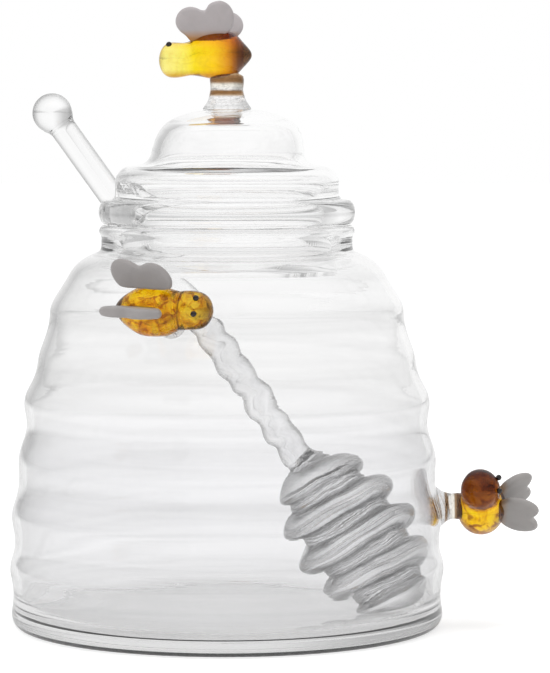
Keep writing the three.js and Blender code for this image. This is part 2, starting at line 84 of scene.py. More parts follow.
# Lid
lid_low, lid_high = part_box("lid_shell")
FLANGE_RADIUS = lid_high.x
FLANGE_HEIGHT = 0.0058
FLANGE_NOSE = 0.0019
TIER_RADIUS = 0.0273
TIER_HEIGHT = 0.0083
TIER_ROUNDING = 0.0042
TIER_ARC = 75
TIER_FOOT_RISE = 0.0011
TIER_FOOT_FLARE = 0.0008
ROOF_RISE = 0.0025
DOME_OFFSET = 0.0005
DOME_TILT = 0.012
DOME_RADIUS = 0.0188
LID_WALL = 0.002
SEAT_GAP = 0.0003
SKIRT_CLEARANCE = 0.0017
SKIRT_BEAD = 0.0013
SKIRT_BEAD_HEIGHT = 0.0049

# Notch in the lid: its room round the twist, its start and end along the dipper, and its reach outwards
NOTCH_CLEARANCE = 0.0005
NOTCH_START = 0.008
NOTCH_END = 0.075
NOTCH_REACH = 0.06

# Dipper
ROD_RADIUS = 0.0032
TWIST_RADIUS = 0.0042
TWIST_GROOVE = 0.0008
TWIST_PITCH = 0.00685
HEAD_RADIUS = 0.0156
HEAD_PITCH = 0.009
HEAD_ROUNDNESS = 2
HEAD_GROOVE_SHARE = 0.27
HEAD_CREST_SHARE = 0.07
HEAD_ROPE_SHARE = 0.72

# Beehive rings: [share of the body's height, share of its radius]
HIVE_SHARES = [
    (0.0345, 0.991), (0.0875, 0.982), (0.130, 0.991), (0.151, 1), (0.172, 0.996), (0.1935, 0.982),
    (0.2306, 0.973), (0.278, 0.987), (0.2996, 0.991), (0.3208, 0.982), (0.363, 0.959),
    (0.403, 0.9546), (0.448, 0.959), (0.480, 0.9455), (0.522, 0.920), (0.5435, 0.918),
    (0.5965, 0.932), (0.6177, 0.925), (0.660, 0.884), (0.6813, 0.8724), (0.724, 0.861),
    (0.766, 0.8335), (0.8087, 0.813), (0.851, 0.8085), (0.872, 0.790), (0.9146, 0.742),
    (0.957, 0.699), (0.978, 0.6535), (0.989, 0.616),
]

# The dome from its top to its foot: [share of its radius, share of its height]
DOME_SHARES = [
    (0, 1), (0.31, 0.975), (0.45, 0.944), (0.6, 0.88), (0.71, 0.81), (0.8, 0.73), (0.868, 0.626),
    (0.915, 0.513), (0.952, 0.383), (0.973, 0.243), (0.989, 0.113), (1, 0),
]

# The roof from the dome to the tier's rounding: [share of the way out, share of the way down]
ROOF_SHARES = [(0.12, 0.45), (0.35, 0.75), (0.65, 0.92)]

# Steps of the fine surfaces
ROUND_STEPS = 144
CURVE_STEPS = 4
ARC_STEPS = 10
HIVE_STEP = 0.0008
HIVE_SOFTENING = 5
NOTCH_STEPS = 24


# Meshes

def new_mesh(name, vertices, faces):
    """A mesh whose faces all look outwards."""
    mesh = bpy.data.meshes.new(name)
    mesh.from_pydata([tuple(v) for v in vertices], [], faces)
    mesh.validate()
    cleaner = bmesh.new()
    cleaner.from_mesh(mesh)
    bmesh.ops.recalc_face_normals(cleaner, faces=cleaner.faces)
    cleaner.to_mesh(mesh)
    cleaner.free()
    return mesh


def new_object(name, data):
    thing = bpy.data.objects.new(name, data)
    scene.collection.objects.link(thing)
    return thing


def new_piece(name, skin, material, replaced):
    """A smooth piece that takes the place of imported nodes."""
    mesh = new_mesh(name, *skin)
    mesh.polygons.foreach_set("use_smooth", [True] * len(mesh.polygons))
    mesh.materials.append(material)
    piece = new_object(name, mesh)
    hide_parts(*replaced)
    return piece


def settle(piece, body, matrix=None):
    """Puts a piece in its place and lets it ride on its body."""
    if matrix is not None:
        piece.matrix_world = matrix
    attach(piece, body)


def basis(x, y, z, place):
    """Matrix from the three ways of a piece's own frame and its place."""
    return Matrix.Translation(place) @ Matrix((x, y, z)).transposed().to_4x4()


def arc(centre_r, centre_z, radius_r, radius_z, start, end, steps=ARC_STEPS):
    angles = [math.radians(start + (end - start) * i / steps) for i in range(steps + 1)]
    return [(centre_r + radius_r * math.cos(a), centre_z + radius_z * math.sin(a)) for a in angles]


def eased(low, high, value):
    """0 up to low, 1 from high on, and a soft step between them."""
    t = min(max((value - low) / (high - low), 0), 1)
    return t * t * (3 - 2 * t)


def blended(first, second, softness):
    """The larger of two radii, with a fillet where they cross."""
    return (first + second + math.sqrt((first - second) ** 2 + softness ** 2)) / 2


def smooth_line(points, steps=CURVE_STEPS):
    """Centripetal Catmull-Rom line through given points."""
    points = [Vector(p) for p in points]
    line = []
    for i in range(len(points) - 1):
        b = points[i]
        c = points[i + 1]
        a = points[i - 1] if i else b * 2 - c
        d = points[i + 2] if i + 2 < len(points) else c * 2 - b
        first, middle, last = (math.sqrt(max((q - p).length, TINY)) for p, q in ((a, b), (b, c), (c, d)))
        start = (b - a) / first - (c - a) / (first + middle) + (c - b) / middle
        end = (c - b) / middle - (d - b) / (middle + last) + (d - c) / last
        for k in range(steps):
            t = k / steps
            line.append(tuple(b * (2 * t ** 3 - 3 * t ** 2 + 1) + start * middle * (t ** 3 - 2 * t ** 2 + t)
                              + c * (3 * t ** 2 - 2 * t ** 3) + end * middle * (t ** 3 - t ** 2)))
    line.append(tuple(points[-1]))
    return line


def evened(line, step, rounds):
    """A line in equal steps with its bends softened."""
    places = [0]
    for a, b in zip(line, line[1:]):
        places.append(places[-1] + (Vector(b) - Vector(a)).length)
    count = round(places[-1] / step)
    even = []
    i = 0
    for k in range(count + 1):
        place = places[-1] * k / count
        while i < len(line) - 2 and places[i + 1] < place:
            i += 1
        share = (place - places[i]) / max(places[i + 1] - places[i], TINY)
        even.append(Vector(line[i]).lerp(Vector(line[i + 1]), min(share, 1)))
    for _ in range(rounds):
        even = [even[0]] + [(a + b * 2 + c) / 4 for a, b, c in zip(even, even[1:], even[2:])] + [even[-1]]
    return [tuple(p) for p in even]


def shifted(outline, distance):
    """Each point of an outline moved square to its run, outwards where distance is positive."""
    moved = []
    for i, point in enumerate(outline):
        before = Vector(outline[max(i - 1, 0)])
        after = Vector(outline[min(i + 1, len(outline) - 1)])
        run = (after - before).normalized()
        moved.append((point[0] + run.y * distance, point[1] - run.x * distance))
    return moved


def stack(rings, first, last):
    """Vertices and faces of a closed skin over rings of points, with a point at each end."""
    count = len(rings[0])
    vertices = [first] + [point for ring in rings for point in ring] + [last]
    end = len(vertices) - 1
    faces = []
    for i in range(count):
        j = (i + 1) % count
        faces.append((0, 1 + i, 1 + j))
        for ring in range(len(rings) - 1):
            a = 1 + ring * count
            faces.append((a + i, a + count + i, a + count + j, a + j))
        a = 1 + (len(rings) - 1) * count
        faces.append((a + i, end, a + j))
    return vertices, faces


def turned(rows, steps, point, first, last):
    """Skin with a ring of points round each row, worked out by point(row, angle), between two end points."""
    angles = [2 * math.pi * i / steps for i in range(steps)]
    return stack([[point(row, angle) for angle in angles] for row in rows], first, last)


def lathe(outline, wobble, steps=ROUND_STEPS):
    """Skin of an outline turned about Z. Its first and last points lie on the axis."""
    def point(row, angle):
        r, z = row
        out = r + wobble(angle, r, z)
        return Vector((out * math.cos(angle), out * math.sin(angle), z))

    ends = [Vector((0, 0, outline[k][1])) for k in (0, -1)]
    return turned(outline[1:-1], steps, point, *ends)


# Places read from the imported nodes

def corners(node):
    return [v.co for v in frame["nodes"][node].data.vertices]


def middle_of(node):
    places = {tuple(round(x, 6) for x in v) for v in corners(node)}
    return sum((Vector(p) for p in places), Vector()) / len(places)


def span_along(node, origin, direction):
    reach = [(v - origin).dot(direction) for v in corners(node)]
    return min(reach), max(reach)


# Material nodes

WHITE = (1, 1, 1, 1)
# Sockets of a Mix node that mixes colours: its share and two colours, and its result
MIX_INPUTS = (0, 6, 7)
MIX_OUTPUT = 2


def grey(value):
    return (value, value, value, 1)


class Nodes:
    """The node tree of a material or of the world, built by short calls."""

    def __init__(self, owner):
        owner.use_nodes = True
        self.owner = owner
        self.tree = owner.node_tree

    def add(self, kind, **settings):
        node = self.tree.nodes.new(kind)
        for key, value in settings.items():
            if key in node.inputs:
                node.inputs[key].default_value = value
            else:
                setattr(node, key, value)
        return node

    def link(self, source, target):
        self.tree.links.new(source, target)

    def feed(self, value, target):
        """Links a socket to an input, or writes a plain value on it."""
        if isinstance(value, bpy.types.NodeSocket):
            self.link(value, target)
        else:
            target.default_value = value

    def calculate(self, operation, *values):
        node = self.add("ShaderNodeMath", operation=operation)
        for value, target in zip(values, node.inputs):
            self.feed(value, target)
        return node.outputs[0]

    def mix(self, share, first, second, blend="MIX"):
        """The first colour where share is 0 and the second where it is 1."""
        node = self.add("ShaderNodeMix", data_type="RGBA", blend_type=blend)
        for index, value in zip(MIX_INPUTS, (share, first, second)):
            self.feed(value, node.inputs[index])
        return node.outputs[MIX_OUTPUT]

    def multiply(self, first, second):
        return self.mix(1, first, second, "MULTIPLY")

    def ramp(self, source, stops):
        """Colour against a value from 0 to 1, from pairs of both. A single number is a grey."""
        node = self.add("ShaderNodeValToRGB")
        elements = node.color_ramp.elements
        while len(elements) < len(stops):
            elements.new(0.5)
        for element, (place, colour) in zip(elements, stops):
            element.position = place
            element.color = (*colour, 1) if isinstance(colour, tuple) else grey(colour)
        self.link(source, node.inputs["Fac"])
        return node.outputs["Color"]

    def between(self, source, low, high, clamped=True):
        """A value made to run from 0 at low to 1 at high."""
        node = self.add("ShaderNodeMapRange", clamp=clamped, **{"From Min": low, "From Max": high})
        self.link(source, node.inputs["Value"])
        return node.outputs["Result"]

    def line(self, source, stops):
        """Brightness against a value, from pairs of both."""
        low = stops[0][0]
        high = stops[-1][0]
        shares = [((value - low) / (high - low), brightness) for value, brightness in stops]
        return self.ramp(self.between(source, low, high), shares)

    def place(self, kind="Object"):
        return self.add("ShaderNodeTexCoord").outputs[kind]

    def axes(self, kind="Object"):
        """The parts X, Y and Z of a place."""
        node = self.add("ShaderNodeSeparateXYZ")
        self.link(self.place(kind), node.inputs["Vector"])
        return node.outputs

    def along(self, axis, low, high, clamped=True):
        """Place along one of the object's own axes, from 0 at low to 1 at high."""
        return self.between(self.axes()[axis], low, high, clamped)

    def clouds(self, scale, detail=3, distortion=0.8, place=None):
        node = self.add("ShaderNodeTexNoise", Scale=scale, Detail=detail, Distortion=distortion)
        self.link(place or self.place(), node.inputs["Vector"])
        return node.outputs["Fac"]

    def facing(self, stops):
        """Colour from where the surface faces the eye, at 0, to its edge, at 1."""
        return self.ramp(self.add("ShaderNodeLayerWeight").outputs["Facing"], stops)

    def ray(self, kind):
        return self.add("ShaderNodeLightPath").outputs[kind]

    def seen_in_glass(self):
        """1 on glossy and transmission rays, and 0 on the rest."""
        return self.calculate("MAXIMUM", self.ray("Is Glossy Ray"), self.ray("Is Transmission Ray"))


class MaterialNodes(Nodes):
    """A new material's nodes, with plain values written on its shader."""

    def __init__(self, name, values):
        super().__init__(bpy.data.materials.new(name))
        self.shader = self.tree.nodes["Principled BSDF"]
        self.surface = self.tree.nodes["Material Output"].inputs["Surface"]
        self.volume = self.tree.nodes["Material Output"].inputs["Volume"]
        for key, value in values.items():
            self.shader.inputs[key].default_value = value

    def tint(self, colour):
        """Multiplies the base colour by one more colour."""
        base = self.shader.inputs["Base Color"]
        if base.links:
            colour = self.multiply(base.links[0].from_socket, colour)
        self.link(colour, base)

    def tone(self, source, stops):
        """Multiplies the base colour by the colours of a ramp."""
        self.tint(self.ramp(source, stops))

    def bump(self, height, strength, depth):
        node = self.add("ShaderNodeBump", Strength=strength, Distance=depth)
        self.link(height, node.inputs["Height"])
        self.link(node.outputs["Normal"], self.shader.inputs["Normal"])

    def absorb(self, colour, density):
        node = self.add("ShaderNodeVolumeAbsorption", Color=colour, Density=density)
        self.link(node.outputs["Volume"], self.volume)


# Clear glass

GLASS = {"Roughness": 0, "IOR": 1.47, "Transmission Weight": 1}
# Rays with more bounces than this go straight through, at this brightness
GLASS_BOUNCES = 5.5
GLASS_THROUGH = 0.95
GLASS_ABSORBED = (0.75, 0.75, 0.745, 1)
STREAKS = {"scale": 1, "detail": 3, "distortion": 0.4}
STREAK_BUMP = {"strength": 0.05, "depth": 0.0004}


def let_through(glass):
    """Lets lamps and the last bounces through the glass, so that neither ends in black."""
    late = glass.calculate("GREATER_THAN", glass.ray("Ray Depth"), GLASS_BOUNCES)
    either = glass.calculate("MAXIMUM", glass.ray("Is Shadow Ray"), late)
    through = glass.add("ShaderNodeBsdfTransparent", Color=grey(GLASS_THROUGH))
    mix = glass.add("ShaderNodeMixShader")
    glass.link(either, mix.inputs["Fac"])
    glass.link(glass.shader.outputs[0], mix.inputs[1])
    glass.link(through.outputs[0], mix.inputs[2])
    glass.link(mix.outputs[0], glass.surface)
    return glass.owner


def clear_glass(name, edge, streaks, stretch, density):
    """Clear glass with painted shade towards its edges, soft streaks and light absorption inside."""
    glass = MaterialNodes(name, GLASS)
    # Painted shade: the edges darken as the surface turns away from the eye
    glass.tint(glass.facing(edge))
    mapping = glass.add("ShaderNodeMapping", Scale=stretch)
    glass.link(glass.place(), mapping.inputs["Vector"])
    waves = glass.clouds(**STREAKS, place=mapping.outputs["Vector"])
    glass.tone(waves, streaks)
    glass.bump(waves, **STREAK_BUMP)
    glass.absorb(GLASS_ABSORBED, density)
    return glass


# Jar

# Jar glass, with light painted shade towards its edges
JAR_GLASS = {
    "edge": [(0.3, 1), (0.5, 0.99), (0.7, 0.965), (1, 0.88)],
    "streaks": [(0.3, 0.93), (0.5, 0.99), (0.6, 1)],
    "stretch": (7, 7, 330),
    "density": 6,
}
# Painted shade from the foot to the rim: dark at the foot, a thin dark line at the inner floor's edge, greyer
# low down and darker at the rim's top. [share of the height, colour]
JAR_HEIGHT_SHADE = [
    (0, 0.76), (0.012, (0.8, 0.8, 0.805)), (0.028, (0.88, 0.88, 0.885)), (0.034, (0.96, 0.96, 0.965)),
    (0.09, (0.965, 0.965, 0.97)), (0.1, (0.91, 0.91, 0.915)), (0.112, (0.965, 0.965, 0.97)),
    (0.25, (0.942, 0.942, 0.95)), (0.45, (0.968, 0.968, 0.975)), (0.6, 1), (0.985, 1), (0.995, 0.85),
]
# Painted shade on the waists between the rings: [share of the way from ring to ring, brightness]
HIVE_WAIST_SHADE = [(0, 1), (0.25, 1), (0.42, 0.965), (0.55, 0.955), (0.75, 0.99), (1, 1)]
HIVE_FIRST_RING = 0.0139
HIVE_RING_PITCH = 0.01366
# Painted shade on the sides: [0 facing the eye to 1 at the edge, brightness], and the heights over which it
# fades out upwards
JAR_SIDE_SHADE = [(0.15, 1), (0.27, 0.985), (0.47, 0.95), (0.7, 0.87), (1, 0.5)]
JAR_SIDE_SHADE_FADE = (0.045, 0.07)

# Slight unevenness of blown glass
BLOWN_DEPTH = 0.00012
BLOWN_SWELLS = 1.2
BLOWN_SWELLS_UP = 30


def make_jar_glass():
    glass = clear_glass("jar_glass", **JAR_GLASS)
    # Painted shade by height
    glass.tone(glass.along("Z", 0, RIM_TOP), JAR_HEIGHT_SHADE)
    # Painted shade on the waists between the rings
    rings = glass.along("Z", HIVE_FIRST_RING, HIVE_FIRST_RING + HIVE_RING_PITCH, False)
    glass.tone(glass.calculate("FRACT", rings), HIVE_WAIST_SHADE)
    # Painted shade on the lower sides, fading out upwards
    fade = glass.along("Z", *JAR_SIDE_SHADE_FADE)
    glass.tint(glass.mix(fade, glass.facing(JAR_SIDE_SHADE), WHITE))
    return let_through(glass)


def hand_blown(angle, r, z):
    """Unevenness of the wall at a place, fading to the axis."""
    spot = Vector((math.cos(angle), math.sin(angle), z * BLOWN_SWELLS_UP)) * BLOWN_SWELLS
    return BLOWN_DEPTH * noise.noise(spot) * min(r / NECK_RADIUS, 1) - BLOWN_DEPTH / 2


hive = [(out * BODY_RADIUS, up * BODY_HEIGHT) for up, out in HIVE_SHARES]
neck_bore = NECK_RADIUS - JAR_WALL
rim_rounding = RIM_BEAD_HEIGHT / 2
rim_middle = (NECK_RADIUS + RIM_BEAD + neck_bore) / 2
rim_half = (NECK_RADIUS + RIM_BEAD - neck_bore) / 2
hive_line = evened(smooth_line(hive), HIVE_STEP, HIVE_SOFTENING)
inner_line = [p for p in shifted(hive_line, -JAR_WALL) if p[1] > FLOOR_THICKNESS + FLOOR_ROUNDING]
neck_line = smooth_line([hive[-1], (NECK_RADIUS + NECK_FLARE, BODY_HEIGHT - NECK_FLARE_DROP),
                         (NECK_RADIUS, BODY_HEIGHT + NECK_BEND)])
outer_wall = hive_line + neck_line[1:]


def wall_radius(height):
    """Outer radius of the jar's wall at a height."""
    for low, high in zip(outer_wall, outer_wall[1:]):
        if low[1] <= height <= high[1]:
            return low[0] + (high[0] - low[0]) * (height - low[1]) / max(high[1] - low[1], TINY)
    return outer_wall[-1][0]


def make_jar():
    foot = hive[0]
    inner = inner_line[0]
    outline = [(0, 0)]
    outline += arc(foot[0] - BASE_ROUNDING, foot[1], BASE_ROUNDING, foot[1], -90, 0)
    outline += outer_wall[1:]
    outline.append((NECK_RADIUS, RIM_TOP - RIM_BEAD_HEIGHT))
    rim_height = RIM_TOP - rim_rounding
    outline += arc(rim_middle, rim_height, rim_half, rim_rounding, RIM_START_ANGLE, 180, 2 * ARC_STEPS)
    outline.append((neck_bore, BODY_HEIGHT - JAR_WALL))
    outline += inner_line[::-1]
    floor_drop = inner[1] - FLOOR_THICKNESS
    outline += arc(inner[0] - FLOOR_ROUNDING, inner[1], FLOOR_ROUNDING, floor_drop, 0, -90)[1:]
    outline.append((0, FLOOR_THICKNESS))
    skin = lathe(outline, hand_blown)
    jar = new_piece("jar_glass_body", skin, make_jar_glass(), ["jar_body"])
    settle(jar, "jar")


# Dipper, measured along its own axis from the middle of the knob

dipper_up = Vector(next(j for j in frame["joints"] if j["name"] == "dipper_slide")["axis"]).normalized()
dipper_side = UP.cross(-dipper_up).normalized()
dipper_front = dipper_side.cross(dipper_up)
rod_middle = middle_of("dipper_rod")
knob_top = span_along("dipper_knob", rod_middle, dipper_up)[1]
knob_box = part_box("dipper_knob")
KNOB_RADIUS = (knob_box[1].y - knob_box[0].y) / 2
knob_at = rod_middle + dipper_up * (knob_top - KNOB_RADIUS)
ROD_LENGTH = -span_along("dipper_twist", knob_at, dipper_up)[1] - SEAT_GAP
head_span = span_along("dipper_head", knob_at, dipper_up)
HEAD_START = -head_span[1] - SEAT_GAP
HEAD_END = -head_span[0]
# The head's outline starts where it is as wide as the twist
head_open_share = (1 - (TWIST_RADIUS / HEAD_RADIUS) ** HEAD_ROUNDNESS) ** (1 / HEAD_ROUNDNESS)
HEAD_LENGTH = (HEAD_END - HEAD_START) / (1 - 0.5 * (1 - head_open_share))
HEAD_MIDDLE = HEAD_END - HEAD_LENGTH / 2
HEAD_CREST = HEAD_END - HEAD_LENGTH + HEAD_LENGTH * HEAD_CREST_SHARE
# Angle round the dipper that faces the camera, and how much flatter the ridges run there
DIPPER_FRONT = math.radians(282)
HEAD_LEAD = 0.065

# The rod swells to the twist from before its end to past it, and the joins have fillets
SWELL_BEFORE = 0.008
SWELL_PAST = 0.006
KNOB_FILLET = 0.0008
HEAD_FILLET = 0.0007
HEAD_FILLET_STEM = 0.003
# Unevenness of the twist and the head: [changes per metre, changes round]
TWIST_NOISE = (260, 0.7)
HEAD_NOISE = (90, 1.6)
TWIST_DRIFT = 0.0012
TWIST_SINK = 0.00012
HEAD_DRIFT = 0.0006
# The head's grooves, and fine ripples in them that fade where it is thin. Under LEAST_HEAD it is plain
GROOVE_ENTRY = 2.2
GROOVE_EXIT = 0.6
RIPPLE_DEPTH = 0.00008
RIPPLE_COUNT = 8
RIPPLE_DRIFT = 3.2
RIPPLE_SHARES = (0.5, 0.8)
RIPPLE_FADE = 0.006
LEAST_HEAD = 0.001

# Rows of points along the dipper and round it
DIPPER_ROUND_STEPS = 96
DIPPER_ROW = 0.00045
HEAD_ROW = 0.00024
HEAD_ROWS_BEFORE = 0.003
KNOB_STEPS = 14
TIP_STEPS = 5

# Dipper glass, with strong painted shade towards its edges
DIPPER_GLASS = {
    "edge": [(0, 1), (0.15, 1), (0.32, 0.84), (0.5, 0.52), (0.75, 0.28), (1, 0.15)],
    "streaks": [(0.35, 0.97), (0.55, 1)],
    "stretch": (160, 160, 60),
    "density": 7,
}
# Painted shade across a ridge: [share of a turn, 0.5 on the crest, brightness], and how far its lines waver
ROPE_SHADE_BANDS = [
    (0, 0.3), (0.025, 1), (0.055, 0.32), (0.085, 1), (0.115, 0.28), (0.145, 1), (0.175, 0.25), (0.22, 0.4),
    (0.29, 0.88), (0.36, 1), (0.62, 1), (0.7, 0.88), (0.78, 0.4), (0.825, 0.25), (0.86, 1), (0.89, 0.28),
    (0.92, 1), (0.95, 0.32), (0.98, 1), (1, 0.3),
]
ROPE_WAVER = 0.3
ROPE_CLOUDS = {"scale": 120, "detail": 2, "distortion": 0.9}
# The painted shade comes in between these distances past the head's start
ROPE_START = 0.001
ROPE_FULL = 0.004
# Painted shade over the twist's first part: [share of it, from its lower end up, colour]
TWIST_SHADE = [(0, (0.9, 0.9, 0.905)), (0.3, (0.82, 0.82, 0.825)), (0.7, (0.87, 0.87, 0.875)), (1, 1)]
TWIST_SHADE_LENGTH = 0.02


def make_dipper_glass():
    """Clear glass with painted shade: greyer over the twist, darker flanks on the head's ridges and fine wavy
    lines in its grooves.
    """
    glass = clear_glass("dipper_glass", **DIPPER_GLASS)
    # Painted shade over the twist's first part
    glass.tone(glass.along("Z", -ROD_LENGTH - TWIST_SHADE_LENGTH, -ROD_LENGTH), TWIST_SHADE)
    # Painted shade on the head's ridges: dark flanks and fine wavy lines, fading in past the head's start
    own = glass.axes()
    swing = glass.calculate("ARCTAN2", own["Y"], own["X"])
    turns = glass.calculate("MULTIPLY_ADD", swing, -1 / (2 * math.pi), 0.5 - HEAD_CREST / HEAD_PITCH)
    down = glass.calculate("MULTIPLY_ADD", own["Z"], -1 / HEAD_PITCH, turns)
    waved = glass.calculate("MULTIPLY_ADD", glass.clouds(**ROPE_CLOUDS), ROPE_WAVER, down)
    across = glass.calculate("FRACT", glass.calculate("ADD", waved, 0.5 - ROPE_WAVER / 2))
    above = glass.line(own["Z"], [(-HEAD_START - ROPE_FULL, 0), (-HEAD_START - ROPE_START, 1)])
    glass.tint(glass.mix(above, glass.ramp(across, ROPE_SHADE_BANDS), WHITE))
    return let_through(glass)


def off_crest(along, angle, pitch, crest, lead=0.0):
    """0 on the crest of a one-start left-hand ridge and 1 in the middle of its groove, and the turn."""
    swing = angle - math.pi
    turn = (along - crest) / pitch - swing / (2 * math.pi) + lead * math.sin(angle - DIPPER_FRONT)
    return 2 * abs(turn - round(turn)), turn


def skin_noise(along, angle, scales):
    down, around = scales
    return noise.noise(Vector((along * down, math.cos(angle) * around, math.sin(angle) * around)))


def stem_radius(along, angle, knob):
    """Radius of the plain rod and of its twisted part, with a fillet to the knob."""
    swell = eased(ROD_LENGTH - SWELL_BEFORE, ROD_LENGTH + SWELL_PAST, along)
    wave = skin_noise(along, angle, TWIST_NOISE)
    dip = off_crest(along + TWIST_DRIFT * wave, angle, TWIST_PITCH, ROD_LENGTH)[0]
    rod = ROD_RADIUS + swell * (TWIST_RADIUS - ROD_RADIUS - TWIST_GROOVE * eased(0, 1, dip))
    rod -= TWIST_SINK * (1 + wave) * swell
    return min(blended(knob, rod, KNOB_FILLET), max(knob, TWIST_RADIUS))


def dipper_radius(along, angle):
    knob = math.sqrt(max(KNOB_RADIUS ** 2 - along ** 2, 0))
    if along < 0:
        return knob
    stem = 0 if along > HEAD_MIDDLE else stem_radius(along, angle, knob)
    share = min(abs(along - HEAD_MIDDLE) / (HEAD_LENGTH / 2), 1)
    envelope = HEAD_RADIUS * (1 - share ** HEAD_ROUNDNESS) ** (1 / HEAD_ROUNDNESS)
    if envelope < LEAST_HEAD:
        return max(stem, envelope)
    wave = skin_noise(along, angle, HEAD_NOISE)
    off, turn = off_crest(along + HEAD_DRIFT * wave, angle, HEAD_PITCH, HEAD_CREST, HEAD_LEAD)
    groove = 1 - (1 - min(off / HEAD_ROPE_SHARE, 1) ** GROOVE_ENTRY) ** GROOVE_EXIT
    ripple = RIPPLE_DEPTH * eased(*RIPPLE_SHARES, off)
    ripple *= math.sin(2 * math.pi * RIPPLE_COUNT * turn + RIPPLE_DRIFT * wave)
    head = envelope * (1 - HEAD_GROOVE_SHARE * groove) + ripple * min(envelope / RIPPLE_FADE, 1)
    return blended(head, stem, HEAD_FILLET * eased(0, HEAD_FILLET_STEM, stem))


def dipper_point(along, angle):
    r = dipper_radius(along, angle)
    return Vector((r * math.cos(angle), r * math.sin(angle), -along))


def make_dipper():
    rows = [-KNOB_RADIUS * math.cos(math.pi / 2 * i / KNOB_STEPS) for i in range(1, KNOB_STEPS)]
    stem_end = HEAD_START - HEAD_ROWS_BEFORE
    stem_rows = round(stem_end / DIPPER_ROW)
    rows += [stem_end * i / stem_rows for i in range(stem_rows)]
    head_rows = round((HEAD_END - stem_end) / HEAD_ROW)
    rows += [stem_end + (HEAD_END - stem_end) * i / head_rows for i in range(head_rows)]
    rows += [HEAD_END - HEAD_ROW * 0.5 ** k for k in range(1, TIP_STEPS + 1)]
    ends = [Vector((0, 0, KNOB_RADIUS)), Vector((0, 0, -HEAD_END))]
    skin = turned(rows, DIPPER_ROUND_STEPS, dipper_point, *ends)
    replaced = ["dipper_knob", "dipper_rod", "dipper_twist", "dipper_head"]
    piece = new_piece("dipper_glass_rod", skin, make_dipper_glass(), replaced)
    settle(piece, "dipper", basis(dipper_front, dipper_side, dipper_up, knob_at))


# Lid

# Lid glass, with light painted shade towards its edges
LID_GLASS = {
    "edge": [(0.6, 1), (0.9, 0.97), (1, 0.9)],
    "streaks": [(0.3, 0.985), (0.55, 1)],
    "stretch": (9, 9, 420),
    "density": 4,
}
# Thin dark lines of painted shade round the lid, between two heights: [share of the way up, colour]
LID_SHADE_LINES = [
    (0.05, 1), (0.08, 0.85), (0.11, 1), (0.255, 1), (0.28, (0.8, 0.78, 0.76)), (0.305, 1), (0.76, 1),
    (0.785, 0.8), (0.81, 1),
]
LID_SHADE_LINES_SPAN = (0.085, 0.105)


def make_lid_glass():
    glass = clear_glass("lid_glass", **LID_GLASS)
    # Thin dark lines of painted shade round the lid's lower part
    glass.tone(glass.along("Z", *LID_SHADE_LINES_SPAN), LID_SHADE_LINES)
    return let_through(glass)


def make_lid():
    flange_bottom = RIM_TOP + SEAT_GAP
    flange_half = FLANGE_HEIGHT / 2
    flange_middle = flange_bottom + flange_half
    flange_top = flange_bottom + FLANGE_HEIGHT
    tier_top = flange_top + TIER_HEIGHT
    dome_foot = tier_top + ROOF_RISE
    dome_height = lid_high.z - dome_foot
    tier_bend = TIER_ROUNDING - LID_WALL
    tier_turn = TIER_RADIUS - TIER_ROUNDING
    shoulder = arc(tier_turn, tier_top - TIER_ROUNDING, TIER_ROUNDING, TIER_ROUNDING, TIER_ARC, 0)
    roof_width = shoulder[0][0] - DOME_RADIUS
    roof_drop = shoulder[0][1] - dome_foot
    crown = [(out * DOME_RADIUS, dome_foot + up * dome_height) for out, up in DOME_SHARES]
    crown += [(DOME_RADIUS + out * roof_width, dome_foot + down * roof_drop) for out, down in ROOF_SHARES]
    crown = smooth_line(crown + [shoulder[0]])
    skirt_radius = neck_bore - SKIRT_CLEARANCE - SKIRT_BEAD
    skirt_bore = skirt_radius - LID_WALL
    skirt_bottom = lid_low.z
    bead_half = SKIRT_BEAD_HEIGHT / 2
    outline = crown[:-1] + shoulder
    outline += [(TIER_RADIUS, flange_top + TIER_FOOT_RISE), (TIER_RADIUS + TIER_FOOT_FLARE, flange_top)]
    outline += arc(FLANGE_RADIUS - FLANGE_NOSE, flange_middle, FLANGE_NOSE, flange_half, 90, 0)
    outline += arc(rim_middle, flange_middle, FLANGE_RADIUS - rim_middle, flange_half, 0, -90)[1:]
    outline.append((skirt_radius, flange_bottom))
    outline += arc(skirt_radius, skirt_bottom + bead_half, SKIRT_BEAD, bead_half, 90, -90, 2 * ARC_STEPS)
    outline.append((skirt_bore, skirt_bottom))
    outline.append((skirt_bore, flange_top))
    outline += arc(tier_turn, tier_top - TIER_ROUNDING, tier_bend, tier_bend, 0, TIER_ARC)
    outline += [p for p in shifted(crown, LID_WALL)[::-1][1:] if p[0] > LID_WALL]
    outline.append((0, lid_high.z - LID_WALL))
    skin = lathe(outline, hand_blown)
    for vertex in skin[0]:
        share = eased(tier_top, dome_foot + dome_height / 2, vertex.z)
        vertex.x += DOME_OFFSET * share
        vertex.z += DOME_TILT * share * vertex.x
    lid = new_piece("lid_glass_shell", skin, make_lid_glass(), ["lid_shell"])
    cut(lid, notch_cutter())
    settle(lid, "lid")


def notch_cutter():
    """A trough along the dipper, open outwards and downwards."""
    half = TWIST_RADIUS + NOTCH_CLEARANCE
    section = arc(0, 0, half, half, -90, 90, NOTCH_STEPS)
    section += [(-NOTCH_REACH, half), (-NOTCH_REACH, -half)]
    ends = [knob_at - dipper_up * along for along in (NOTCH_START, NOTCH_END)]
    rings = [[end + dipper_front * x + dipper_side * y for x, y in section] for end in ends]
    return new_object("notch", new_mesh("notch", *stack(rings, *ends)))


def cut(piece, cutter):
    modifier = piece.modifiers.new("cut", "BOOLEAN")
    modifier.operation = "DIFFERENCE"
    modifier.solver = "EXACT"
    modifier.object = cutter
    bpy.context.view_layer.update()
    graph = bpy.context.evaluated_depsgraph_get()
    finished = bpy.data.meshes.new_from_object(piece.evaluated_get(graph))
    piece.modifiers.clear()
    piece.data = finished
    bpy.data.objects.remove(cutter)


# Bees, each in its own frame: X to the head, Y to its left, Z out of its back

def from_millimetres(points):
    return [tuple(value * MM for value in point) for point in points]


